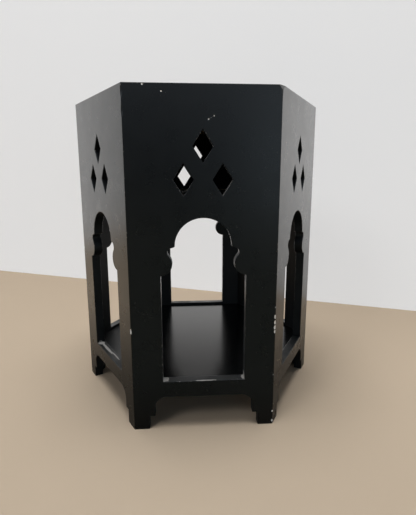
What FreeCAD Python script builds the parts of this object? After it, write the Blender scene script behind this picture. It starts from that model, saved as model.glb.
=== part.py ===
# A six-sided side table in lacquered board, pierced in the Moroccan way.
# Six upright panels are mitred together round a top, a niche ceiling and a shelf.
# Millimetres, +Z up. The origin is on the floor at the middle, and the front panel faces -Y.
import FreeCAD, Part
import math
import os
from FreeCAD import Vector

# Overall size
sides = 6
table_height = 518.0
corner_reach = 220.0            # from the middle to each upright arris
panel_thickness = 15.0

# Boards that the panels hold
top_thickness = 15.0
ceiling_thickness = 12.0
shelf_thickness = 15.0
groove_depth = 4.0              # how far shelf and niche ceiling are let into the panels
rebate_depth = 7.0              # how far the top is let into the panels
glue_gap = 0.1                  # between the end of a tongue or board edge and its slot

# Feet and rail, from the floor up
foot_width = 24.0               # at the floor, from the arris
foot_step = 9.0                 # how far the leg stands back behind the toe
foot_step_height = 22.0
leg_rise = 14.0                 # straight leg above the step
foot_curve_radius = 18.0
rail_lip = 6.0                  # rail below the shelf
sill_lip = 5.0                  # rail above the shelf

# Lozenge piercings, from the top down
head_margin = 44.5              # from the top board to the single lozenge
lozenge_width = 29.4
lozenge_height = 46.0
lozenge_rise = 46.5             # from the lower two up to the single one
lozenge_spread = 56.0           # between the middles of the lower two
ceiling_margin = 9.0            # from the lower two down to the niche ceiling

# Arch opening, from the crown down
crown_margin = 10.0             # from the niche ceiling to the crown
arch_radius = 42.0
ledge_reach = 4.0               # small step outwards at the springing
ledge_drop = 1.7
scallop_radius = 7.0
shoulder_radius = 17.5          # quarter round above each jamb

# Edges
arris_radius = 1.2
edge_round = 0.8
round_limit_share = 0.8         # a rounding never takes more of an arris than this

# Tongues in the mitres
tongue_thickness = 3.0
tongue_width = 12.0
tongue_foot = 84.0              # lower end above the floor
tongue_head_gap = 15.0          # upper end below the top board
tongue_place_share = 0.3        # across the mitre, from the groove towards the arris

# Cleats under the top
cleat_depth = 20.0              # away from the panel
cleat_height = 20.0
cleat_end_gap = 15.0            # from each end to the mitre
cleat_chamfer = 2.0

# Countersunk wood screws
screw_shank = 3.5
screw_head = 7.0
screw_head_height = 2.2
screw_tip = 4.0
screw_bite_share = 0.67         # how much of the board behind the cleat a screw reaches into
screw_slack = 0.1               # round the shank in its pilot hole
level_spacing_share = 0.64      # screws into the panel, of the cleat's length
upright_spacing_share = 0.4     # screws into the top, of the cleat's length
recess_depth = 1.4
recess_width = 3.2
recess_blade = 0.9

overrun = 1.0                   # how far a cutting shape runs past what it cuts

# Plan, worked out from the above
turn = 2 * math.pi / sides
half_turn = turn / 2
face_distance = corner_reach * math.cos(half_turn)
inner_distance = face_distance - panel_thickness
groove_distance = inner_distance + groove_depth
rebate_distance = inner_distance + rebate_depth
cleat_face_distance = inner_distance - cleat_depth
corner_half = corner_reach * math.sin(half_turn)
inner_half = inner_distance * math.tan(half_turn)
cleat_half = cleat_face_distance * math.tan(half_turn) - cleat_end_gap
ledge_half = arch_radius + ledge_reach
opening_half = ledge_half + shoulder_radius
foot_half = corner_half - foot_width
leg_half = foot_half - foot_step

# Heights, worked out from the above
curve_height = foot_step_height + leg_rise
rail_height = curve_height + foot_curve_radius
shelf_bottom = rail_height + rail_lip
shelf_top = shelf_bottom + shelf_thickness
sill_height = shelf_top + sill_lip
top_bottom = table_height - top_thickness
cleat_bottom = top_bottom - cleat_height
upper_lozenge_height = top_bottom - head_margin - lozenge_height / 2
lower_lozenge_height = upper_lozenge_height - lozenge_rise
ceiling_top = lower_lozenge_height - lozenge_height / 2 - ceiling_margin
ceiling_bottom = ceiling_top - ceiling_thickness
spring_height = ceiling_bottom - crown_margin - arch_radius
scallop_height = spring_height - ledge_drop - scallop_radius
reach_of_two = scallop_radius + shoulder_radius
shoulder_height = scallop_height - math.sqrt(reach_of_two ** 2 - shoulder_radius ** 2)
jamb_height = shoulder_height - shoulder_radius
rounding = min(edge_round, arris_radius * round_limit_share)

side_names = ["front", "front_right", "back_right", "back", "back_left", "front_left"]
corner_names = ["front_right", "right", "back_right", "back_left", "left", "front_left"]


def on_side(shape, index):
    """A copy of a shape made for the front side, turned to another side."""
    placed = shape.copy()
    placed.rotate(Vector(0, 0, 0), Vector(0, 0, 1), math.degrees(turn) * index)
    return placed


def line(start, end):
    return Part.LineSegment(start, end).toShape()


def arc(centre, radius, start, end):
    """An arc in a panel's own plane, from one angle to another, in degrees from +X."""
    angles = [math.radians(a) for a in (start, (start + end) / 2, end)]
    points = [upright(centre[0] + radius * math.cos(a), centre[1] + radius * math.sin(a)) for a in angles]
    return Part.Arc(*points).toShape()


def upright(across, height):
    """A point of the front panel's outer face."""
    return Vector(across, -face_distance, height)


def mirrored(edges):
    return [e.mirror(Vector(0, 0, 0), Vector(1, 0, 0)) for e in edges]


def through_panel(edges):
    """The solid that cuts an outline right through the front panel."""
    wire = Part.Wire(Part.__sortEdges__(edges))
    face = Part.Face(wire)
    face.translate(Vector(0, -overrun, 0))
    return face.extrude(Vector(0, panel_thickness + 2 * overrun, 0))


def arch_opening():
    """Round arch on a small ledge, a scallop and a quarter-round shoulder over straight jambs."""
    tangent = math.degrees(math.acos(shoulder_radius / reach_of_two))
    ledge_end = upright(ledge_half, scallop_height + scallop_radius)
    right_side = [
        line(upright(arch_radius, spring_height), ledge_end),
        arc((ledge_half, scallop_height), scallop_radius, 90, -tangent),
        arc((opening_half, shoulder_height), shoulder_radius, 180 - tangent, 270),
        line(upright(opening_half, jamb_height), upright(opening_half, sill_height)),
    ]
    crown = arc((0, spring_height), arch_radius, 0, 180)
    sill = line(upright(-opening_half, sill_height), upright(opening_half, sill_height))
    return through_panel(right_side + mirrored(right_side) + [crown, sill])


def lozenge(across, height):
    half_width, half_height = lozenge_width / 2, lozenge_height / 2
    points = [
        upright(across + half_width, height),
        upright(across, height + half_height),
        upright(across - half_width, height),
        upright(across, height - half_height),
    ]
    return through_panel([line(a, b) for a, b in zip(points, points[1:] + points[:1])])


def foot_cut():
    """The space between a panel's two half feet, with a step and a quarter round on each."""
    curve_half = leg_half - foot_curve_radius
    right_side = [
        line(upright(foot_half, -overrun), upright(foot_half, foot_step_height)),
        line(upright(foot_half, foot_step_height), upright(leg_half, foot_step_height)),
        line(upright(leg_half, foot_step_height), upright(leg_half, curve_height)),
        arc((curve_half, curve_height), foot_curve_radius, 0, 90),
    ]
    rail = line(upright(-curve_half, rail_height), upright(curve_half, rail_height))
    base = line(upright(-foot_half, -overrun), upright(foot_half, -overrun))
    return through_panel(right_side + mirrored(right_side) + [rail, base])


def panel_blank():
    """A board with both ends bevelled to the mitre and half of each arris rounded."""
    set_back = arris_radius * math.tan(half_turn)
    centre_reach = corner_reach - arris_radius / math.cos(half_turn)
    across = centre_reach * math.sin(half_turn)
    along = -centre_reach * math.cos(half_turn)

    def arris_point(share):
        angle = half_turn * share
        return Vector(across + arris_radius * math.sin(angle), along - arris_radius * math.cos(angle), 0)

    face_end = Vector(corner_half - set_back, -face_distance, 0)
    back_end = Vector(inner_half, -inner_distance, 0)
    right_side = [
        Part.Arc(face_end, arris_point(0.5), arris_point(1)).toShape(),
        line(arris_point(1), back_end),
    ]
    face = line(Vector(-face_end.x, face_end.y, 0), face_end)
    back = line(Vector(-back_end.x, back_end.y, 0), back_end)
    wire = Part.Wire(Part.__sortEdges__(right_side + mirrored(right_side) + [face, back]))
    return Part.Face(wire).extrude(Vector(0, 0, table_height))


def hexagon(distance, bottom, thickness):
    """A six-sided board whose edges lie at one distance from the middle."""
    reach = distance / math.cos(half_turn)
    corners = [
        Vector(reach * math.sin(half_turn + turn * i), -reach * math.cos(half_turn + turn * i), bottom)
        for i in range(sides)
    ]
    return Part.Face(Part.makePolygon(corners + corners[:1])).extrude(Vector(0, 0, thickness))


def tongue(spare):
    """A loose tongue in the mitre at the front panel's right end, or its slot with spare room."""
    groove_reach = groove_distance / math.cos(half_turn)
    place = groove_reach + (corner_reach - groove_reach) * tongue_place_share
    height = top_bottom - tongue_head_gap - tongue_foot
    blade = Part.makeBox(
        tongue_thickness,
        tongue_width + 2 * spare,
        height + 2 * spare,
        Vector(place - tongue_thickness / 2, -tongue_width / 2 - spare, tongue_foot - spare),
    )
    blade.rotate(Vector(0, 0, 0), Vector(0, 0, 1), math.degrees(half_turn) - 90)
    return blade


def screw_blank(length, spare):
    """A screw along +Z with its head's flat face at zero, or its hole with spare room."""
    upwards = Vector(0, 0, 1)
    shank = screw_shank / 2 + spare
    head = screw_head / 2 + spare
    tip_height = length - screw_tip
    cone = Part.makeCone(head, shank, screw_head_height, Vector(0, 0, 0), upwards)
    body_start = Vector(0, 0, screw_head_height)
    body = Part.makeCylinder(shank, tip_height - screw_head_height, body_start, upwards)
    point = Part.makeCone(shank, spare, screw_tip + spare, Vector(0, 0, tip_height), upwards)
    return cone.fuse([body, point]).removeSplitter()


def screw(length):
    """The screw itself, with a cross recess in its head."""
    corner = Vector(-recess_width / 2, -recess_blade / 2, -overrun)
    blade = Part.makeBox(recess_width, recess_blade, recess_depth + overrun, corner)
    other = blade.copy()
    other.rotate(Vector(0, 0, 0), Vector(0, 0, 1), 90)
    return screw_blank(length, 0).cut([blade, other])


def pair_of_places(spacing, along, height, direction):
    """Two screw places side by side on a cleat, with the way the screws are driven."""
    rotation = FreeCAD.Rotation(Vector(0, 0, 1), direction)
    return [
        FreeCAD.Placement(Vector(across, along, height), rotation)
        for across in (-spacing / 2, spacing / 2)
    ]


def placed(shape, places):
    copies = []
    for place in places:
        copy = shape.copy()
        copy.Placement = place.multiply(copy.Placement)
        copies.append(copy)
    return copies


level_length = cleat_depth + panel_thickness * screw_bite_share
level_places = pair_of_places(
    2 * cleat_half * level_spacing_share,
    -cleat_face_distance,
    cleat_bottom + cleat_height / 2,
    Vector(0, -1, 0),
)
upright_length = cleat_height + top_thickness * screw_bite_share
upright_places = pair_of_places(
    2 * cleat_half * upright_spacing_share,
    -cleat_face_distance - cleat_depth / 2,
    cleat_bottom,
    Vector(0, 0, 1),
)


def top_cleat():
    """A square cleat under the top, chamfered along its free lower edge."""
    corner = Vector(-cleat_half, -inner_distance, cleat_bottom)
    cleat = Part.makeBox(2 * cleat_half, cleat_depth, cleat_height, corner)
    chosen = [
        edge for edge in cleat.Edges
        if all(abs(v.Y + cleat_face_distance) < glue_gap for v in edge.Vertexes)
        and all(abs(v.Z - cleat_bottom) < glue_gap for v in edge.Vertexes)
    ]
    cleat = cleat.makeChamfer(cleat_chamfer, chosen)
    level_holes = placed(screw_blank(level_length, screw_slack), level_places)
    upright_holes = placed(screw_blank(upright_length, screw_slack), upright_places)
    return cleat.cut(level_holes + upright_holes)


def lies_at(low, high, place):
    """Whether an edge's extent lies at one place."""
    tolerance = glue_gap / 2
    return abs(low - place) < tolerance and abs(high - place) < tolerance


def rounded(panel):
    """Eases the edges of the piercings and feet on both faces, and the upper edge outside."""
    chosen = []
    for edge in panel.Edges:
        box = edge.BoundBox
        side = min(abs(box.XMin), abs(box.XMax))
        at_floor = lies_at(box.ZMin, box.ZMax, 0)
        at_head = lies_at(box.ZMin, box.ZMax, table_height)
        outside = lies_at(box.YMin, box.YMax, -face_distance) and side < corner_half - arris_radius
        inside = lies_at(box.YMin, box.YMax, -inner_distance) and side < inner_half - arris_radius
        outer_head = at_head and box.YMax < -face_distance + arris_radius
        if outer_head or (outside and not at_floor) or (inside and not at_floor and not at_head):
            chosen.append(edge)
    return panel.makeFillet(rounding, chosen)


def front_panel():
    """The front panel with its piercings, housings and slots."""
    lozenges = [
        lozenge(-lozenge_spread / 2, lower_lozenge_height),
        lozenge(lozenge_spread / 2, lower_lozenge_height),
        lozenge(0, upper_lozenge_height),
    ]
    panel = rounded(panel_blank().cut([arch_opening(), foot_cut()] + lozenges))
    right_slot = tongue(glue_gap)
    left_slot = right_slot.mirror(Vector(0, 0, 0), Vector(1, 0, 0))
    housings = [
        hexagon(groove_distance + glue_gap, shelf_bottom, shelf_thickness),
        hexagon(groove_distance + glue_gap, ceiling_bottom, ceiling_thickness),
        hexagon(rebate_distance + glue_gap, top_bottom, top_thickness + overrun),
    ]
    pilot_holes = placed(screw_blank(level_length, screw_slack), level_places)
    return panel.cut(housings + [right_slot, left_slot] + pilot_holes)


def all_sides(shapes):
    return Part.makeCompound([on_side(shape, i) for i in range(sides) for shape in shapes])


def build():
    """Every piece by its name."""
    pieces = {}
    panel = front_panel()
    cleat = top_cleat()
    blade = tongue(0)
    for index, (side, corner) in enumerate(zip(side_names, corner_names)):
        pieces[side + "_panel"] = on_side(panel, index)
        pieces[side + "_top_cleat"] = on_side(cleat, index)
        pieces[corner + "_corner_tongue"] = on_side(blade, index)
    top_holes = placed(screw_blank(upright_length, screw_slack), upright_places)
    top = hexagon(rebate_distance, top_bottom, top_thickness)
    pieces["top_board"] = top.cut(all_sides(top_holes))
    pieces["niche_ceiling"] = hexagon(groove_distance, ceiling_bottom, ceiling_thickness)
    pieces["shelf_board"] = hexagon(groove_distance, shelf_bottom, shelf_thickness)
    pieces["cleat_screws"] = all_sides(placed(screw(level_length), level_places))
    pieces["top_screws"] = all_sides(placed(screw(upright_length), upright_places))
    return pieces


os.makedirs("parts", exist_ok=True)
for name, shape in build().items():
    shape.exportStep("parts/" + name + ".step")
    print(name, "solids", len(shape.Solids), "volume", round(shape.Volume), "valid", shape.isValid())
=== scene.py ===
# The looks of the six-sided lacquered side table, in metres, +Z up, front panel towards -Y
import bmesh
import bpy
import math
import numpy as np
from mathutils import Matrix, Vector


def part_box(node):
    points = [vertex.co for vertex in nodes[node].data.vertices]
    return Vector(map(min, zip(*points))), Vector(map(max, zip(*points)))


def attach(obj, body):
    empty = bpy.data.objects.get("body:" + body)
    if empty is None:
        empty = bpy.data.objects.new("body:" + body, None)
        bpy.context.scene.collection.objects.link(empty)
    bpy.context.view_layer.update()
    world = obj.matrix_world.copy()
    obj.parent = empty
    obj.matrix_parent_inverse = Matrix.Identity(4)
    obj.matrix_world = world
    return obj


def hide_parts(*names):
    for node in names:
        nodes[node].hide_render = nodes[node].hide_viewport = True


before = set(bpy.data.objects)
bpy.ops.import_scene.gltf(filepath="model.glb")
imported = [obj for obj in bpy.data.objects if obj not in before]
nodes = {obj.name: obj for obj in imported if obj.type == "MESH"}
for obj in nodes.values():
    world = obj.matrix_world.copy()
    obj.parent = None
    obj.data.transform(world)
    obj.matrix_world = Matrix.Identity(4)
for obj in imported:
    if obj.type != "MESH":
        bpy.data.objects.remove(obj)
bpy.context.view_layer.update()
mm = 0.001
print("frame loaded:", len(nodes), "pieces")

# Sizes of the table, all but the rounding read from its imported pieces
panelLow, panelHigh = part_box("front_panel")
sixth = math.pi / 3
table = {
    "height": panelHigh.z,
    "face": -panelLow.y,                                # middle to each outer face
    "corner": -panelLow.y / math.cos(sixth / 2),        # middle to each arris
    "thickness": panelHigh.y - panelLow.y,
    "arrisRound": 1.2 * mm,
    "ceiling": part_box("niche_ceiling")[1].z,            # top of the board over the niche
}
sides = ["front", "front_right", "back_right", "back", "back_left", "front_left"]
corners = ["front_right", "right", "back_right", "back_left", "left", "front_left"]

# Camera, at the photograph's viewing angle
cameraSet = {
    "place": (-0.02539, -0.74526, 0.40234),
    "down": 10.876,             # degrees below level
    "aside": 3.896,             # degrees towards +X
    "lens": 27.14,
    "sensor": 36,
    "shift": (-0.00779, -0.02435),
}


def makeCamera(s):
    data = bpy.data.cameras.new("camera")
    data.lens = s["lens"]
    data.sensor_width = s["sensor"]
    data.shift_x, data.shift_y = s["shift"]
    camera = bpy.data.objects.new("camera", data)
    camera.location = s["place"]
    camera.rotation_euler = (math.radians(90 - s["down"]), 0, -math.radians(s["aside"]))
    bpy.context.scene.collection.objects.link(camera)
    bpy.context.scene.camera = camera


makeCamera(cameraSet)
print("camera ready")


# Across to the right, outwards and up, on one side. Sides count anticlockwise from the front.
def sideAxes(index):
    angle = -math.pi / 2 + sixth * index
    outward = np.array([math.cos(angle), math.sin(angle), 0])
    return np.array([-outward[1], outward[0], 0]), outward, np.array([0, 0, 1.0])


# The same at one arris. Arrises count anticlockwise from the one right of the front.
def arrisAxes(index):
    return sideAxes(index + 0.5)


# Small helpers for materials
def startMaterial(name):
    material = bpy.data.materials.new(name)
    material.use_nodes = True
    tree = material.node_tree
    return material, tree, tree.nodes["Principled BSDF"]


# A socket is linked, any other value is set on the input
def feed(tree, socket, value):
    if isinstance(value, bpy.types.NodeSocket):
        tree.links.new(value, socket)
    else:
        socket.default_value = value


# Adds one node. Inputs go by name, or by number as i0, i1 and so on.
def addNode(tree, kind, settings=None, **inputs):
    node = tree.nodes.new("ShaderNode" + kind)
    for key, value in (settings or {}).items():
        setattr(node, key, value)
    for key, value in inputs.items():
        numbered = key[0] == "i" and key[1:].isdigit()
        feed(tree, node.inputs[int(key[1:]) if numbered else key], value)
    return node


def objectPlace(tree):
    return addNode(tree, "TexCoord").outputs["Object"]


def noise(tree, place, scale, detail=3.0, rough=0.5):
    return addNode(tree, "TexNoise", Vector=place, Scale=scale, Detail=detail, Roughness=rough).outputs["Fac"]


# Maps a value between two limits onto another pair, clamped
def band(tree, value, low, high, toLow=0.0, toHigh=1.0):
    limits = {"From Min": low, "From Max": high, "To Min": toLow, "To Max": toHigh}
    return addNode(tree, "MapRange", {"clamp": True}, Value=value, **limits).outputs["Result"]


# A value that changes between two places along one axis. Limits are both places, then both values.
def fade(tree, axis, limits):
    return band(tree, addNode(tree, "SeparateXYZ", i0=objectPlace(tree)).outputs[axis], *limits)


def calc(tree, operation, first, second=0.0):
    return addNode(tree, "Math", {"operation": operation}, i0=first, i1=second).outputs[0]


# Mixes two colours by a share
def blend(tree, share, first, second):
    return addNode(tree, "Mix", {"data_type": "RGBA"}, i0=share, i6=first, i7=second).outputs[2]


def bump(tree, shader, height, strength, distance):
    node = addNode(tree, "Bump", Height=height, Strength=strength, Distance=distance)
    tree.links.new(node.outputs["Normal"], shader.inputs["Normal"])


# Satin black lacquer, rubbed through along its edges and in a few spots, and painted pale where some sill and
# lozenge edges show a highlight.
# In every finish a noise is its scale per metre, then its detail and roughness where they are its own.
# Limits are the two values that a change runs between, then the two it becomes where these aren't 0 and 1.
# A bump is its strength and its height in metres.
lacquerSet = {
    "black": (0.0016, 0.0023, 0.0026, 1),
    "faded": (0.0027, 0.0035, 0.0038, 1),
    "cloud": (9.0, 4.0),        # noise from black to faded
    "cloudLimits": (0.35, 0.7),
    "rubbedAndHighlight": (0.44, 0.43, 0.41, 1),
    "rubbedAndHighlightDark": (0.20, 0.19, 0.18, 1),
    "rubbedGrain": (500.0,),
    "rubbedRough": 0.3,         # added where the lacquer is rubbed through and where highlights are painted
    "rub": (260.0, 4.0, 0.65),  # fine noise that rubs the edges, in patches, and frays the spots
    "rubLimits": (0.60, 0.66),
    "patch": (24.0, 3.0),
    "patchLimits": (0.50, 0.62),
    "smudge": (38.0, 5.0, 0.6),
    "smudgeLimits": (0.3, 0.7),
    "roughLow": 0.26,
    "roughHigh": 0.31,
    "gloss": 0.18,              # specular level
    "peel": (420.0, 2.0),       # orange peel
    "peelBump": (0.6, 0.000012),
    "cutRough": (0.10, 0.30),   # added on the panels' cut sides, in patches
    "cutPatch": (30.0, 2.0),
    "cutLimits": (0.35, 0.65),
    "fibre": (900.0,),          # board fibre that stands up on the cut sides
    "fibreHeight": 3.0,         # times the orange peel's
    "innerRough": 0.18,         # added on the panels' inner faces
    "lineColour": (0.68, 0.59, 0.43, 1),
    "line": 3.0 * mm,           # about the width of the pale line
    "lineSoft": (0.4, 0.6),     # its upper edge, as shares of that width
    "spotRagged": 1.2,          # how much of the fine noise is added to the distance from a spot
    "spotLimits": (1.45, 1.65, 1.0, 0.0),
    # rubbed spots, some also painted highlights, in mm: side, across, inwards from the face, height, and half
    # sizes the same three ways
    "spots": [
        (0, -60.5, 8.0, 81.0, 7.0, 7.5, 4.0),
        (0, 62.5, 8.0, 82.5, 3.6, 7.5, 7.5),
        # a thin streak along the front sill's outer edge: rubbed paint that also paints the edge's highlight
        (0, 3.0, 1.4, 80.0, 17.0, 1.4, 0.9),
        # pale marks on the lozenges' lower cut sides: rubbed paint that also paints the light on these upward
        # sides
        (0, 36.0, 4.6, 378.0, 8.5, 3.6, 12.5),
        (0, 29.0, 4.6, 367.5, 3.6, 3.6, 3.6),
        (0, -28.0, 4.6, 367.0, 3.0, 3.6, 3.2),
        (0, -21.0, 4.0, 377.0, 5.5, 3.0, 8.0),
        (0, 7.5, 4.0, 423.5, 6.0, 3.0, 9.0),
        (5, -57.0, 7.0, 80.5, 7.0, 6.0, 3.5),
        # long pale streaks on the left opening's sill: rubbed paint that also paints the sill's reflection of
        # the wall
        (5, -30.0, 8.0, 80.0, 30.0, 2.6, 2.0),
        (5, 8.0, 10.3, 80.0, 19.0, 1.25, 1.2),
        (3, 61.0, 7.0, 81.0, 5.0, 6.0, 5.0),
        (2, -62.0, 8.0, 81.0, 4.5, 6.5, 4.5),
    ],
}


# Least distance to a spot, as a share of the spot's own half sizes
def spotShare(tree, place, spots):
    nearest = 10.0      # beyond the edge of every spot
    for side, across, inward, height, *halves in spots:
        right, outward, up = sideAxes(side)
        centre = right * across * mm + outward * (table["face"] - inward * mm) + up * height * mm
        own = addNode(tree, "Mapping", {"vector_type": "TEXTURE"}, Vector=place, Location=centre.tolist(),
                      Rotation=(0, 0, side * sixth), Scale=[half * mm for half in halves]).outputs[0]
        share = addNode(tree, "VectorMath", {"operation": "LENGTH"}, i0=own).outputs["Value"]
        nearest = calc(tree, "MINIMUM", share, nearest)
    return nearest


# Share of a face attribute that the panels carry and the boards don't
def faceShare(tree, name):
    return addNode(tree, "Attribute", {"attribute_name": name}).outputs["Fac"]


# Largest distance from the middle over the three pairs of sides, which is even along the six walls
def wallReach(tree, place):
    reach = 0.0
    for side in range(3):
        outward = sideAxes(side)[1]
        dot = addNode(tree, "VectorMath", {"operation": "DOT_PRODUCT"}, i0=place, i1=outward.tolist())
        reach = calc(tree, "MAXIMUM", calc(tree, "ABSOLUTE", dot.outputs["Value"]), reach)
    return reach


# A pale line painted on the inner walls, just above the niche ceiling
def ceilingLine(tree, place, fine, s):
    step = 0.1 * mm
    up = addNode(tree, "SeparateXYZ", i0=place).outputs["Z"]
    top = calc(tree, "ADD", up, calc(tree, "MULTIPLY", fine, -s["line"]))
    low = table["ceiling"]
    softLow, softHigh = [low + s["line"] * share for share in s["lineSoft"]]
    under = band(tree, top, softLow, softHigh, 1.0, 0.0)
    line = calc(tree, "MULTIPLY", band(tree, up, low, low + step), under)
    inner = table["face"] - table["thickness"]
    walls = band(tree, wallReach(tree, place), inner + step, inner + 3 * step, 1.0, 0.0)
    return calc(tree, "MULTIPLY", line, walls)


def lacquer(name, s):
    material, tree, shader = startMaterial(name)
    place = objectPlace(tree)
    cloud = noise(tree, place, *s["cloud"])
    smudge = noise(tree, place, *s["smudge"])
    fine = noise(tree, place, *s["rub"])
    body = blend(tree, band(tree, cloud, *s["cloudLimits"]), s["black"], s["faded"])
    patches = band(tree, noise(tree, place, *s["patch"]), *s["patchLimits"])
    rub = calc(tree, "MULTIPLY", band(tree, fine, *s["rubLimits"]), patches)
    rub = calc(tree, "MULTIPLY", faceShare(tree, "edgeBand"), rub)
    uneven = calc(tree, "MULTIPLY", fine, s["spotRagged"])
    ragged = calc(tree, "ADD", spotShare(tree, place, s["spots"]), uneven)
    rub = calc(tree, "MAXIMUM", rub, band(tree, ragged, *s["spotLimits"]))
    # Rubbed paint and painted highlights share this pale colour
    bare = blend(tree, noise(tree, place, *s["rubbedGrain"]), s["rubbedAndHighlightDark"], s["rubbedAndHighlight"])
    body = blend(tree, rub, body, bare)
    body = blend(tree, ceilingLine(tree, place, fine, s), body, s["lineColour"])
    tree.links.new(body, shader.inputs["Base Color"])
    rough = band(tree, smudge, *s["smudgeLimits"], s["roughLow"], s["roughHigh"])
    rough = calc(tree, "ADD", rough, calc(tree, "MULTIPLY", rub, s["rubbedRough"]))
    cut = faceShare(tree, "cutSide")
    sawn = band(tree, noise(tree, place, *s["cutPatch"]), *s["cutLimits"], *s["cutRough"])
    rough = calc(tree, "ADD", rough, calc(tree, "MULTIPLY", cut, sawn))
    dull = calc(tree, "MULTIPLY", faceShare(tree, "innerFace"), s["innerRough"])
    rough = calc(tree, "ADD", rough, dull)
    if "dullLeft" in s:
        rough = calc(tree, "ADD", rough, fade(tree, "X", s["dullLeft"]))
    tree.links.new(rough, shader.inputs["Roughness"])
    shader.inputs["Specular IOR Level"].default_value = s["gloss"]
    peel = noise(tree, place, *s["peel"])
    fibre = calc(tree, "MULTIPLY", noise(tree, place, *s["fibre"]), s["fibreHeight"])
    height = calc(tree, "ADD", peel, calc(tree, "MULTIPLY", cut, fibre))
    if "streakHeight" in s:
        long = addNode(tree, "Mapping", Vector=place, Scale=s["streakStretch"]).outputs[0]
        streaks = calc(tree, "MULTIPLY", noise(tree, long, *s["streak"]), s["streakHeight"])
        height = calc(tree, "ADD", height, streaks)
    bump(tree, shader, height, *s["peelBump"])
    return material


# Thin black paint on the board inside, matt, with a pale border painted along the walls
insideSet = {
    "black": (0.006, 0.006, 0.006, 1),
    "dusty": (0.012, 0.0115, 0.0105, 1),
    "dust": (60.0, 5.0, 0.6),
    "dustLimits": (0.4, 0.7),
    "dustBump": (0.3, 0.0001),
    "bare": (0.50, 0.42, 0.30, 1),
    "border": 2.5 * mm,         # about the width of the pale border
    "borderNoise": (90.0, 4.0),
    "borderSoft": (0.5, 0.3),   # its edge, as shares of that width
    "rough": 0.85,
    "gloss": 0.10,
}


def insidePaint(s):
    material, tree, shader = startMaterial("insidePaint")
    place = objectPlace(tree)
    dust = noise(tree, place, *s["dust"])
    body = blend(tree, band(tree, dust, *s["dustLimits"]), s["black"], s["dusty"])
    inner = table["face"] - table["thickness"]
    ragged = calc(tree, "MULTIPLY", noise(tree, place, *s["borderNoise"]), s["border"])
    edge = calc(tree, "ADD", wallReach(tree, place), ragged)
    line = band(tree, edge, *[inner - s["border"] * share for share in s["borderSoft"]])
    tree.links.new(blend(tree, line, body, s["bare"]), shader.inputs["Base Color"])
    shader.inputs["Roughness"].default_value = s["rough"]
    shader.inputs["Specular IOR Level"].default_value = s["gloss"]
    bump(tree, shader, dust, *s["dustBump"])
    return material


# What the chips lay bare: white primer, primer rubbed grey, and the brown board
bareSets = {
    "whitePrimer": {"pale": (0.88, 0.88, 0.87, 1), "dark": (0.64, 0.63, 0.62, 1), "rough": 0.7, "grain": 500},
    "greyPrimer": {"pale": (0.27, 0.27, 0.255, 1), "dark": (0.13, 0.13, 0.12, 1), "rough": 0.6, "grain": 300},
    "fibreboard": {"pale": (0.30, 0.20, 0.12, 1), "dark": (0.14, 0.09, 0.05, 1), "rough": 0.85, "grain": 900},
}
bareShared = {"detail": (5.0, 0.7), "limits": (0.3, 0.7), "bump": (0.5, 0.0001)}


def bareMaterial(name, s):
    material, tree, shader = startMaterial(name)
    grain = noise(tree, objectPlace(tree), s["grain"], *bareShared["detail"])
    shade = blend(tree, band(tree, grain, *bareShared["limits"]), s["dark"], s["pale"])
    tree.links.new(shade, shader.inputs["Base Color"])
    shader.inputs["Roughness"].default_value = s["rough"]
    bump(tree, shader, grain, *bareShared["bump"])
    return material


# Sawn pine for the cleats, with the grain along each one
pineSet = {
    "pale": (0.62, 0.44, 0.25, 1),
    "dark": (0.42, 0.25, 0.12, 1),
    "stretch": (1.2, 26.0, 26.0),
    "fibre": (6.0, 6.0, 0.6),
    "fibreLimits": (0.25, 0.75),
    "fibreBump": (0.4, 0.0002),
    "rings": 5.0,
    "ringBend": 3.0,
    "rough": 0.7,
}


def pine(index, s):
    material, tree, shader = startMaterial("sawnPine" + str(index))
    turned = addNode(tree, "Mapping", Vector=objectPlace(tree), Rotation=(0, 0, -index * sixth))
    long = addNode(tree, "Mapping", Vector=turned.outputs[0], Scale=s["stretch"]).outputs[0]
    fibre = noise(tree, long, *s["fibre"])
    rings = addNode(tree, "TexWave", {"bands_direction": "Z"}, Vector=long, Scale=s["rings"],
                    Distortion=s["ringBend"])
    shade = calc(tree, "MULTIPLY", band(tree, fibre, *s["fibreLimits"]), rings.outputs["Fac"])
    tree.links.new(blend(tree, shade, s["pale"], s["dark"]), shader.inputs["Base Color"])
    shader.inputs["Roughness"].default_value = s["rough"]
    bump(tree, shader, fibre, *s["fibreBump"])
    return material


# Birch plywood for the tongues: thin plies across three millimetres
plySet = {
    "pale": (0.70, 0.56, 0.37, 1),
    "glue": (0.34, 0.22, 0.12, 1),
    "plies": 50.0,
    "stretch": (40, 40, 2),
    "fibre": (8.0, 5.0),
    "fibreLimits": (0.3, 0.7, 0.3, 0.9),
    "fibreBump": (0.3, 0.0001),
    "rough": 0.6,
}


def ply(index, s):
    material, tree, shader = startMaterial("birchPly" + str(index))
    angle = (1 - index) * sixth
    turned = addNode(tree, "Mapping", Vector=objectPlace(tree), Rotation=(0, 0, angle)).outputs[0]
    layers = addNode(tree, "TexWave", {"bands_direction": "X"}, Vector=turned, Scale=s["plies"])
    long = addNode(tree, "Mapping", Vector=turned, Scale=s["stretch"]).outputs[0]
    fibre = noise(tree, long, *s["fibre"])
    shade = calc(tree, "MULTIPLY", layers.outputs["Fac"], band(tree, fibre, *s["fibreLimits"]))
    tree.links.new(blend(tree, shade, s["pale"], s["glue"]), shader.inputs["Base Color"])
    shader.inputs["Roughness"].default_value = s["rough"]
    bump(tree, shader, fibre, *s["fibreBump"])
    return material


# Bright zinc plate on the screws
zincSet = {
    "pale": (0.66, 0.66, 0.63, 1),
    "dull": (0.46, 0.46, 0.45, 1),
    "rough": (0.22, 0.42),
    "cloud": (600.0, 3.0),
    "cloudLimits": (0.3, 0.7),
    "pits": (1800.0,),
    "pitBump": (0.2, 0.00005),
}


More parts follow.
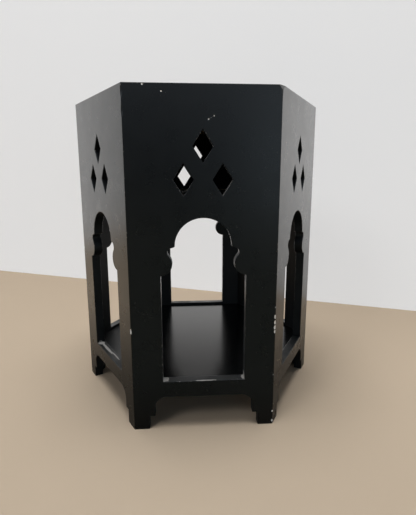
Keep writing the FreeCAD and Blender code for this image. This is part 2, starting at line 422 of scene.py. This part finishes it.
def zinc(s):
    material, tree, shader = startMaterial("zincPlate")
    place = objectPlace(tree)
    cloud = noise(tree, place, *s["cloud"])
    tree.links.new(blend(tree, cloud, s["pale"], s["dull"]), shader.inputs["Base Color"])
    tree.links.new(band(tree, cloud, *s["cloudLimits"], *s["rough"]), shader.inputs["Roughness"])
    shader.inputs["Metallic"].default_value = 1.0
    bump(tree, shader, noise(tree, place, *s["pits"]), *s["pitBump"])
    return material


# The shelf was rubbed smoother, in streaks along its front edge, and its left corner is duller
shelfSet = {
    **lacquerSet,
    "roughLow": 0.17,
    "roughHigh": 0.21,
    "gloss": 0.12,
    "streak": (1.0, 2.0),
    "streakStretch": (5.0, 420.0, 5.0),
    "streakHeight": 2.5,        # times the orange peel's
    "dullLeft": (-0.180, -0.118, 0.50, 0.0),
}

finishes = {"lacquer": lacquer("blackLacquer", lacquerSet)}
for name, values in bareSets.items():
    finishes[name] = bareMaterial(name, values)
panelSlots = ["lacquer", "whitePrimer", "greyPrimer", "fibreboard"]
print("finishes ready:", len(finishes))


# Chips, flakes and worn corners are closed shells that are cut out of the panels
shellSet = {
    "rows": 13,                 # grid of a lump, from pole to pole and round
    "columns": 20,
    "capOut": 14,               # rows of a corner's dome out to its reach, and back
    "capBack": 6,
    "capColumns": 28,
    "capLift": 1.25,            # how far the rows back lie from its middle, in radii
    "chipRipple": 0.22,
    "dentRipple": 0.03,
    "capRipple": 0.006,
}


# Ripple is a bumpy factor near one: low waves in both angles that fade to nothing at the poles
def ripple(polar, around, seed, depth):
    rng = np.random.default_rng(seed)
    total = np.zeros_like(polar)
    for order in (2, 3, 4, 5):
        phase, turn, share = *rng.uniform(0, 2 * np.pi, 2), rng.uniform(0.5, 1)
        total += share * np.sin(order * around + phase) * np.sin(order * polar + turn) / order
    return 1 + depth * total * np.sin(polar)


# Points on a unit ball from two angles
def ballPoints(polar, around):
    return np.stack([np.cos(around) * np.sin(polar), np.sin(around) * np.sin(polar), np.cos(polar)], -1)


# Both angles at each point of a grid, from its rows' own angles and its count of columns
def gridAngles(polar, columns):
    return np.meshgrid(polar, np.arange(columns) * 2 * np.pi / columns, indexing="ij")


# Vertices and faces of a grid whose first and last rows are poles and whose columns join round.
# The faces are turned to point outwards if the volume inside comes out negative.
def shellMesh(points, slot):
    rows, columns = points.shape[:2]
    vertices = np.vstack([points[0, :1], points[1:-1].reshape(-1, 3), points[-1, :1]])
    column = np.arange(columns)
    after = (column + 1) % columns
    row = (np.arange(rows - 3) * columns)[:, None]
    quads = np.stack([row + column, row + columns + column, row + columns + after, row + after], -1) + 1
    quads = quads.reshape(-1, 4)
    last = 1 + (rows - 3) * columns
    firstFan = np.stack([np.zeros(columns, int), column + 1, after + 1], -1)
    lastFan = np.stack([np.full(columns, len(vertices) - 1), last + after, last + column], -1)
    triangles = np.vstack([firstFan, quads[:, :3], quads[:, [0, 2, 3]], lastFan])
    one, two, three = (vertices - vertices.mean(0))[triangles].transpose(1, 0, 2)
    step = 1 if (one * np.cross(two, three)).sum() > 0 else -1
    faces = [face[::step].tolist() for part in (firstFan, quads, lastFan) for face in part]
    return vertices, faces, slot


# A bumpy ellipsoid: centre + axes * radii * (cos a sin p, sin a sin p, cos p) * ripple
def lump(centre, axes, radii, seed, slot, depth=shellSet["chipRipple"]):
    polar, around = gridAngles(np.linspace(0, np.pi, shellSet["rows"]), shellSet["columns"])
    unit = ballPoints(polar, around) * ripple(polar, around, seed, depth)[..., None]
    return shellMesh(centre + (unit * radii) @ np.asarray(axes), slot)


# The space outside a wide, bumpy dome: rows run from its pole out to reach / radius, then back higher up
def cornerCap(centre, axes, radius, reach, seed, slot):
    out, back = shellSet["capOut"], shellSet["capBack"]
    spread = reach / radius * np.concatenate([np.linspace(0, 1, out), np.linspace(1, 0, back)])
    scale = np.concatenate([np.ones(out), np.full(back, shellSet["capLift"])])
    polar, around = gridAngles(spread, shellSet["capColumns"])
    bumps = ripple(polar, around, seed, shellSet["capRipple"])
    unit = ballPoints(polar, around) * (bumps * scale[:, None])[..., None]
    return shellMesh(centre + (unit * radius) @ np.asarray(axes), slot)


# Places and sizes in millimetres
wear = {
    # arris, height, half length, depth, sideways, radius across, finish
    "arrisChips": [
        (5, 164.5, 4.9, 1.05, -0.5, 1.8, "whitePrimer"),
        (5, 514.6, 1.5, 0.70, -1.0, 1.8, "greyPrimer"),
        (5, 506.5, 9.0, 1.00, 0.0, 8.0, "lacquer"),
        (5, 481.3, 9.2, 0.90, 0.0, 8.0, "lacquer"),
        (0, 511.0, 9.0, 0.90, 0.4, 8.0, "lacquer"),
        (0, 197.5, 1.9, 0.65, -0.6, 1.8, "greyPrimer"),
        (0, 182.3, 4.3, 0.90, -0.9, 1.8, "whitePrimer"),
        (0, 173.0, 4.2, 0.85, -0.9, 1.8, "whitePrimer"),
        (0, 165.3, 4.0, 1.10, -1.0, 1.8, "whitePrimer"),
        (0, 158.2, 3.4, 0.95, -0.9, 1.8, "whitePrimer"),
        (0, 86.4, 1.5, 0.90, -0.9, 1.8, "greyPrimer"),
        (0, 22.6, 1.9, 0.95, -1.0, 1.8, "whitePrimer"),
        (0, 6.2, 2.4, 1.05, -1.0, 1.8, "whitePrimer"),
    ],
    # side, across, height, half length, half width, depth, turn in degrees, finish
    "faceFlakes": [
        (0, -81.6, 515.6, 1.50, 1.30, 0.50, 0, "whitePrimer"),
        (0, -56.3, 507.0, 1.10, 0.95, 0.40, 0, "whitePrimer"),
        (0, 7.7, 471.4, 1.05, 0.95, 0.35, 20, "whitePrimer"),
        (0, 11.3, 473.5, 2.60, 0.22, 0.10, 30, "greyPrimer"),
        (0, 15.3, 475.8, 1.00, 0.65, 0.30, 45, "whitePrimer"),
        (2, 41.0, 402.0, 0.80, 0.60, 0.25, 10, "greyPrimer"),
        (3, -72.0, 296.0, 0.70, 0.65, 0.25, 0, "whitePrimer"),
        (3, 20.5, 488.0, 3.40, 0.20, 0.10, -38, "greyPrimer"),
    ],
    # side, across, half width, depth, finish
    "topChips": [
        (0, -87.5, 1.1, 0.8, "greyPrimer"),
        (0, -58.0, 0.9, 0.7, "greyPrimer"),
        (2, 34.0, 1.6, 1.0, "greyPrimer"),
        (3, 63.0, 1.4, 1.2, "whitePrimer"),
        (4, -20.0, 1.0, 0.8, "greyPrimer"),
    ],
    # arris, degrees turned sideways and up, depth, radius of the dome, reach along it
    "wornCorners": [
        (0, 14, 24, 3.0, 120.0, 20.0),
        (1, 5, 35, 1.7, 60.0, 14.0),
        (3, -6, 40, 1.2, 60.0, 12.0),
    ],
    # the same first four values, then sideways and up from the dome's pole, half width, half length, finish
    "cornerScars": [
        (0, 14, 24, 3.0, -3.4, -0.8, 0.6, 2.8, "fibreboard"),
    ],
    "dentRadius": 3,            # an arris cut with a larger radius is a flat dent
    "chipWide": 1.15,           # a chip's width, in its radii
    "flakeRadius": 0.9,
    "topProud": 0.6,            # how far the middle of a chip in the upper edge lies outside
    "scarThick": 0.5,
    "scarProud": 0.1,
    # what the photograph doesn't show: small nicks scattered along the other arrises
    "nicks": {"seed": 7, "count": 13, "arrises": (1, 2, 3, 4), "heights": (12, 500), "half": (1.0, 4.2),
              "depth": (0.6, 0.95), "aside": 0.9, "radius": 1.8,
              "finishes": ("whitePrimer", "greyPrimer", "lacquer")},
}


def scatterNicks(s):
    rng = np.random.default_rng(s["seed"])
    nicks = []
    for number in range(s["count"]):
        height, half, depth = rng.uniform(*s["heights"]), rng.uniform(*s["half"]), rng.uniform(*s["depth"])
        finish = s["finishes"][rng.integers(len(s["finishes"]))]
        arris, aside = s["arrises"][number % len(s["arrises"])], rng.uniform(-s["aside"], s["aside"])
        nicks.append((arris, height, half, depth, aside, s["radius"], finish))
    return nicks


arrisChips = wear["arrisChips"] + scatterNicks(wear["nicks"])
# The middle to the rounded arris: the sharp corner less what the rounding takes off
arrisReach = table["corner"] - table["arrisRound"] * (1 / math.cos(sixth / 2) - 1)


def arrisCut(seed, arris, height, half, depth, aside, radius, finish):
    tangent, outward, up = arrisAxes(arris)
    centre = outward * (arrisReach + (radius - depth) * mm) + tangent * aside * mm + up * height * mm
    flat = radius > wear["dentRadius"]
    spread = math.sqrt(1 - (1 - depth / radius) ** 2) if flat else 1     # flat dents keep their length
    radii = np.array([radius * wear["chipWide"], radius, half / spread]) * mm
    bumps = shellSet["dentRipple" if flat else "chipRipple"]
    return lump(centre, (tangent, outward, up), radii, seed, panelSlots.index(finish), bumps)


def flakeCut(seed, side, across, height, half, wide, depth, turn, finish):
    right, outward, up = sideAxes(side)
    turn = math.radians(turn)
    along = right * math.cos(turn) + up * math.sin(turn)
    radius = wear["flakeRadius"] * mm
    spread = math.sqrt(1 - (1 - depth * mm / radius) ** 2)
    centre = outward * (table["face"] + radius - depth * mm) + right * across * mm + up * height * mm
    radii = (half * mm / spread, radius, wide * mm / spread)
    return lump(centre, (along, outward, np.cross(along, outward)), radii, seed, panelSlots.index(finish))


def topCut(seed, side, across, half, depth, finish):
    right, outward, up = sideAxes(side)
    proud = wear["topProud"] * mm
    centre = outward * (table["face"] + proud) + right * across * mm + up * (table["height"] + proud)
    radii = (half * mm, depth * mm + proud, depth * mm + proud)
    return lump(centre, (right, outward, up), radii, seed, panelSlots.index(finish))


# A corner's own axes: sideways, up its slope and out of it, with the corner's point
def cornerAxes(arris, turn, faceUp):
    tangent, outward, up = sideAxes(arris + 0.5 + math.radians(turn) / sixth)
    lean = math.radians(faceUp)
    slant = outward * math.cos(lean) + up * math.sin(lean)
    return (tangent, np.cross(slant, tangent), slant), arrisAxes(arris)[1] * arrisReach + up * table["height"]


def cornerCut(seed, arris, turn, faceUp, depth, radius, reach):
    axes, corner = cornerAxes(arris, turn, faceUp)
    centre = corner - axes[2] * (depth + radius) * mm
    return cornerCap(centre, axes, radius * mm, reach * mm, seed, panelSlots.index("lacquer"))


def scarCut(seed, arris, turn, faceUp, depth, aside, above, wide, half, finish):
    axes, corner = cornerAxes(arris, turn, faceUp)
    below = depth - wear["scarProud"]
    centre = corner + (axes[0] * aside + axes[1] * above - axes[2] * below) * mm
    radii = np.array([wide, half, wear["scarThick"]]) * mm
    return lump(centre, axes, radii, seed, panelSlots.index(finish))


# The shells that touch one panel, by kind: first seed, function, list, and the arrises or side that it takes
def panelCuts(index):
    ends = {index, (index - 1) % len(sides)}
    kinds = [
        (0, arrisCut, arrisChips, ends),
        (40, flakeCut, wear["faceFlakes"], {index}),
        (60, topCut, wear["topChips"], {index}),
        (80, cornerCut, wear["wornCorners"], ends),
        (90, scarCut, wear["cornerScars"], ends),
    ]
    cuts = []
    for seed, makeCut, rows, places in kinds:
        cuts += [makeCut(seed + number, *row) for number, row in enumerate(rows) if row[0] in places]
    return cuts


def meshFrom(name, vertices, faces, slots=None):
    mesh = bpy.data.meshes.new(name)
    mesh.from_pydata(np.asarray(vertices).tolist(), [], faces)
    if slots is not None:
        mesh.polygons.foreach_set("material_index", np.asarray(slots, np.int32))
    mesh.update()
    return mesh


def link(name, mesh):
    piece = bpy.data.objects.new(name, mesh)
    bpy.context.scene.collection.objects.link(piece)
    return piece


# One mesh of several closed shells, each with its own finish
def joinShells(name, shells):
    starts = np.cumsum([0] + [len(points) for points, faces, slot in shells])
    faces = []
    for start, (points, quads, slot) in zip(starts, shells):
        faces += [[int(start) + corner for corner in face] for face in quads]
    slots = [slot for points, quads, slot in shells for face in quads]
    mesh = meshFrom(name, np.vstack([points for points, quads, slot in shells]), faces, slots)
    for finish in panelSlots:
        mesh.materials.append(finishes[finish])
    return mesh


# How the copies of the panels are sewn, smoothed and marked
panelSet = {
    "sewn": 0.002 * mm,         # vertices and slivers nearer than this become one
    "smooth": 35,               # widest turn between faces that shade as one, degrees
    "planeTurns": 500,          # faces lie in one plane where their normals times this
    "planeSteps": 50,           # and their offsets in mm times this round to the same
    "across": 0.03,             # below this share of facing outwards or inwards a face is a cut side
    "along": 0.9995,            # above this one it is an outer or inner face
    "mitre": 0.002,             # and this near a mitre's share it is a mitre
}


# A copy of a packed panel with its loose triangles sewn together
def mergedCopy(source, name):
    mesh = source.data.copy()
    mesh.name = name
    work = bmesh.new()
    work.from_mesh(mesh)
    bmesh.ops.remove_doubles(work, verts=work.verts, dist=panelSet["sewn"])
    work.to_mesh(mesh)
    work.free()
    mesh.materials.clear()
    for finish in panelSlots:
        mesh.materials.append(finishes[finish])
    mesh.polygons.foreach_set("material_index", np.zeros(len(mesh.polygons), np.int32))
    return mesh


# Cuts the shells out of a panel, then leaves plain triangles with no slivers
def cutShells(panel, shells):
    cutter = link("cutter", joinShells("cutter", shells))
    cut = panel.modifiers.new("chips", "BOOLEAN")
    cut.operation, cut.solver, cut.object, cut.use_self = "DIFFERENCE", "EXACT", cutter, True
    shown = panel.evaluated_get(bpy.context.evaluated_depsgraph_get())
    mesh = bpy.data.meshes.new_from_object(shown)
    panel.modifiers.clear()
    panel.data = mesh
    bpy.data.objects.remove(cutter)
    work = bmesh.new()
    work.from_mesh(mesh)
    bmesh.ops.triangulate(work, faces=work.faces)
    bmesh.ops.dissolve_degenerate(work, dist=panelSet["sewn"], edges=work.edges)
    bmesh.ops.triangulate(work, faces=work.faces)
    work.to_mesh(mesh)
    work.free()


# Each face's normal, area, plane offset and finish, as arrays
def faceValues(mesh):
    count = len(mesh.polygons)
    normals, centres = np.empty(count * 3), np.empty(count * 3)
    areas, slots = np.empty(count), np.empty(count, np.int32)
    mesh.polygons.foreach_get("normal", normals)
    mesh.polygons.foreach_get("center", centres)
    mesh.polygons.foreach_get("area", areas)
    mesh.polygons.foreach_get("material_index", slots)
    normals = normals.reshape(-1, 3)
    return normals, areas, (normals * centres.reshape(-1, 3)).sum(1), slots


# Each corner's normal is the mean of its vertex's faces that turn less than the widest angle from its own,
# weighed by the area of the whole plane that each lies in, so that flat faces stay flat to their edges
def smoothNormals(mesh, widest):
    normals, areas, offsets, slots = faceValues(mesh)
    steps = [normals * panelSet["planeTurns"], offsets / mm * panelSet["planeSteps"]]
    planes = np.round(np.column_stack(steps)).astype(np.int64)
    plane = np.unique(planes, axis=0, return_inverse=True)[1].ravel()
    weight = np.bincount(plane, areas)[plane]
    corner = len(mesh.loops)
    vertex, totals = np.empty(corner, np.int32), np.empty(len(mesh.polygons), np.int32)
    mesh.loops.foreach_get("vertex_index", vertex)
    mesh.polygons.foreach_get("loop_total", totals)
    face = np.repeat(np.arange(len(totals)), totals)
    order = np.argsort(vertex, kind="stable")
    sizes = np.bincount(vertex)
    first = np.cumsum(sizes) - sizes
    mates = sizes[vertex]
    one = np.repeat(np.arange(corner), mates)
    step = np.arange(len(one)) - np.repeat(np.cumsum(mates) - mates, mates)
    own, other = face[one], face[order[first[vertex[one]] + step]]
    near = ((normals[own] * normals[other]).sum(1) > math.cos(widest)) & (slots[own] == slots[other])
    shares = normals[other] * (weight[other] * near)[:, None]
    mean = np.stack([np.bincount(one, shares[:, axis], corner) for axis in range(3)], -1)
    length = np.linalg.norm(mean, axis=1)
    mean = np.where(length[:, None] > 0, mean / np.maximum(length, 1e-30)[:, None], normals[face])
    mesh.shade_smooth()
    mesh.normals_split_custom_set(mean.tolist())


# Marks a panel's rounded and chipped places, its cut sides and its inner face
def markEdges(mesh, index):
    turned = faceValues(mesh)[0] @ sideAxes(index)[1]
    facing = np.abs(turned)
    across, along = panelSet["across"], panelSet["along"]
    mitre = np.abs(facing - math.sin(sixth / 2)) < panelSet["mitre"]
    between = (facing > across) & (facing < along) & ~mitre
    marks = {"edgeBand": between, "cutSide": facing <= across, "innerFace": turned < -along}
    for name, faces in marks.items():
        mesh.attributes.new(name, "FLOAT", "FACE").data.foreach_set("value", faces.astype(np.float32))


# A panel with its chips cut out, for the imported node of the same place
def wornPanel(index):
    side = sides[index]
    first, *rest = side.split("_")
    name = first + "".join(word.capitalize() for word in rest) + "Panel"
    panel = link(name, mergedCopy(nodes[side + "_panel"], name))
    shells = panelCuts(index)
    cutShells(panel, shells)
    markEdges(panel.data, index)
    smoothNormals(panel.data, math.radians(panelSet["smooth"]))
    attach(panel, "root")
    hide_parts(side + "_panel")
    print(name, len(panel.data.polygons), "faces,", len(shells), "cuts")


for index in range(len(sides)):
    wornPanel(index)
print("panels ready")


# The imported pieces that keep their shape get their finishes
def finishNode(name, material):
    slots = nodes[name].data.materials
    slots.clear()
    slots.append(material)


finishNode("top_board", finishes["lacquer"])
finishNode("shelf_board", lacquer("shelfLacquer", shelfSet))
finishNode("niche_ceiling", insidePaint(insideSet))
for index, side in enumerate(sides):
    finishNode(side + "_top_cleat", pine(index, pineSet))
for index, corner in enumerate(corners):
    finishNode(corner + "_corner_tongue", ply(index, plySet))
screwFinish = zinc(zincSet)
for group in ("cleat_screws", "top_screws"):
    finishNode(group, screwFinish)
print("boards, cleats, tongues and screws finished")

# Plain floor, plain wall and soft lights, with light and shade painted on floor and wall in reflections
stageSet = {
    "floor": (0.50, 0.405, 0.305, 1),
    "wall": (0.76, 0.76, 0.76, 1),
    "wallShown": (0.42, 0.425, 0.435, 1),   # its colour for the camera, which sees the glow on top
    "wallSeen": 0.49,           # glow for the camera
    "wallMirrored": 1.20,       # and in reflections, as painted light, where the wall and the floor change by place
    "dimAcross": (0.25, 0.45, 0.0, 1.0),    # a painted shadow of the table: the wall darkens to the right, in metres and shares
    "dimUp": (0.0, 0.42, 0.58, 0.0),        # and there towards the floor
    "middleLeft": (-0.60, -0.40, 0.0, 1.0),     # its part that the shelf mirrors, between these two
    "middleRight": (0.20, 0.40, 1.0, 0.0),
    "middleUp": (0.27, 0.45, 1.27, 0.66),       # is painted brighter low and darker higher up
    "floorMirrored": 0.90,      # the floor's left part glows there as painted light, and its right part less
    "litLeft": (-0.60, -0.36, 1.0, 0.0),
    "litRight": (0.34, 0.48, 0.0, 0.4),
    "floorClose": (0.18, 0.38, 0.60, 0.0),  # a painted shade: it darkens towards the table by this share
    "closeAcross": (-0.10, 0.12, 1.0, 0.45),    # and less so to the right
    "floorFront": (0.39, 0.405, 0.34, 1),   # its cooler colour in what the front mirrors, a painted reflection
    "frontward": (-0.32, -0.18, 1.0, 0.0),
    "wallPlace": (0.0, 0.54),
    "wallTurn": -21.6,          # degrees
    "size": 4.5,
    "world": (0.60, 0.66, 0.74, 1),
    "worldLight": 0.08,
    "worldSeen": 0.75,
    "worldMirrored": (0.12, 0.32, 0.42, 2.8),   # low and high upward share of a direction, and their levels
    "plainRough": 0.9,
    "plainGloss": 0.1,
}
lampSets = [
    {"name": "ceilingLamp", "place": (-0.21, -0.26, 4.2), "size": 2.1, "power": 146, "colour": (1, 1, 1)},
    {"name": "window", "place": (-2.5, -2.6, 3.2), "size": 1.2, "power": 37, "colour": (1, 1, 1)},
    {"name": "fill", "place": (1.05, -2.8, 0.57), "size": 1.1, "power": 8, "colour": (0.72, 0.88, 1.0)},
]


def plainMaterial(name, colour, s):
    material, tree, shader = startMaterial(name)
    shader.inputs["Base Color"].default_value = colour
    shader.inputs["Roughness"].default_value = s["plainRough"]
    shader.inputs["Specular IOR Level"].default_value = s["plainGloss"]
    return material, tree, shader


# In reflections alone the floor glows at its sides as painted light, darkens towards the table as painted
# shade and changes its colour
def floorMaterial(s):
    material, tree, shader = plainMaterial("plainFloor", s["floor"], s)
    glossy = addNode(tree, "LightPath").outputs["Is Glossy Ray"]
    middle = addNode(tree, "VectorMath", {"operation": "LENGTH"}, i0=objectPlace(tree)).outputs["Value"]
    # painted shade around the table, seen only in reflections
    paintedShade = calc(tree, "MULTIPLY", band(tree, middle, *s["floorClose"]), fade(tree, "X", s["closeAcross"]))
    dark = calc(tree, "MULTIPLY", paintedShade, glossy)
    front = calc(tree, "MULTIPLY", fade(tree, "Y", s["frontward"]), glossy)
    body = blend(tree, front, s["floor"], s["floorFront"])
    tree.links.new(blend(tree, dark, body, (0, 0, 0, 1)), shader.inputs["Base Color"])
    # painted light on the floor's sides, seen only in reflections
    paintedLight = calc(tree, "MAXIMUM", fade(tree, "X", s["litLeft"]), fade(tree, "X", s["litRight"]))
    paintedLight = calc(tree, "MULTIPLY", paintedLight, s["floorMirrored"])
    shader.inputs["Emission Color"].default_value = s["floor"]
    tree.links.new(calc(tree, "MULTIPLY", paintedLight, glossy), shader.inputs["Emission Strength"])
    return material


# The wall glows a little for the camera, and in reflections with painted light and a painted shadow of the
# table; the camera sees through its back
def wallMaterial(s):
    material, tree, shader = plainMaterial("plainWall", s["wall"], s)
    path = addNode(tree, "LightPath")
    camera, glossy = path.outputs["Is Camera Ray"], path.outputs["Is Glossy Ray"]
    tree.links.new(blend(tree, camera, s["wall"], s["wallShown"]), shader.inputs["Base Color"])
    seen = calc(tree, "MULTIPLY", camera, s["wallSeen"])
    # painted shadow of the table on the wall, seen only in reflections
    paintedShadow = calc(tree, "MULTIPLY", fade(tree, "X", s["dimAcross"]), fade(tree, "Z", s["dimUp"]))
    mirrored = calc(tree, "MULTIPLY", calc(tree, "SUBTRACT", 1.0, paintedShadow), s["wallMirrored"])
    middle = calc(tree, "MULTIPLY", fade(tree, "X", s["middleLeft"]), fade(tree, "X", s["middleRight"]))
    middle = band(tree, middle, 0.0, 1.0, 1.0, fade(tree, "Z", s["middleUp"]))
    mirrored = calc(tree, "MULTIPLY", mirrored, middle)
    glow = calc(tree, "ADD", seen, calc(tree, "MULTIPLY", glossy, mirrored))
    shader.inputs["Emission Color"].default_value = (1, 1, 1, 1)
    tree.links.new(glow, shader.inputs["Emission Strength"])
    back = addNode(tree, "NewGeometry").outputs["Backfacing"]
    clear = addNode(tree, "MixShader", i0=calc(tree, "MULTIPLY", camera, back))
    tree.links.new(shader.outputs[0], clear.inputs[1])
    tree.links.new(addNode(tree, "BsdfTransparent").outputs[0], clear.inputs[2])
    tree.links.new(clear.outputs[0], tree.nodes["Material Output"].inputs["Surface"])
    return material


def makeStage(s):
    size = s["size"]
    floorCorners = [(-size, -size, 0), (size, -size, 0), (size, size, 0), (-size, size, 0)]
    floor = link("floor", meshFrom("floor", floorCorners, [[0, 1, 2, 3]]))
    floor.data.materials.append(floorMaterial(s))
    turn = math.radians(s["wallTurn"])
    along = Vector((math.cos(turn), math.sin(turn), 0)) * size
    foot = Vector((*s["wallPlace"], 0))
    up = Vector((0, 0, size))
    wallCorners = [foot - along, foot + along, foot + along + up, foot - along + up]
    wall = link("wall", meshFrom("wall", wallCorners, [[0, 1, 2, 3]]))
    wall.data.materials.append(wallMaterial(s))


# Pale for the camera, even as a light, and brighter overhead than low down in reflections
def makeWorld(s):
    world = bpy.data.worlds.new("room")
    bpy.context.scene.world = world
    world.use_nodes = True
    tree = world.node_tree
    soft = tree.nodes["Background"]
    soft.inputs["Color"].default_value = s["world"]
    path = addNode(tree, "LightPath")
    upward = addNode(tree, "SeparateXYZ", i0=addNode(tree, "TexCoord").outputs["Generated"]).outputs["Z"]
    mirrored = band(tree, upward, *s["worldMirrored"])
    level = band(tree, path.outputs["Is Glossy Ray"], 0, 1, s["worldLight"], mirrored)
    tree.links.new(level, soft.inputs["Strength"])
    pale = addNode(tree, "Background", Color=(1, 1, 1, 1), Strength=s["worldSeen"])
    mix = addNode(tree, "MixShader", i0=path.outputs["Is Camera Ray"])
    tree.links.new(soft.outputs[0], mix.inputs[1])
    tree.links.new(pale.outputs[0], mix.inputs[2])
    tree.links.new(mix.outputs[0], tree.nodes["World Output"].inputs["Surface"])


def makeLamp(s):
    data = bpy.data.lights.new(s["name"], "AREA")
    data.size = s["size"]
    data.energy = s["power"]
    data.color = s["colour"]
    lamp = bpy.data.objects.new(s["name"], data)
    lamp.location = s["place"]
    aim = Vector((0, 0, table["height"] / 2)) - Vector(s["place"])
    lamp.rotation_euler = aim.to_track_quat("-Z", "Y").to_euler()
    bpy.context.scene.collection.objects.link(lamp)


makeStage(stageSet)
makeWorld(stageSet)
for lampSet in lampSets:
    makeLamp(lampSet)
bpy.context.scene.view_settings.view_transform = "Standard"
print("stage and lights ready")
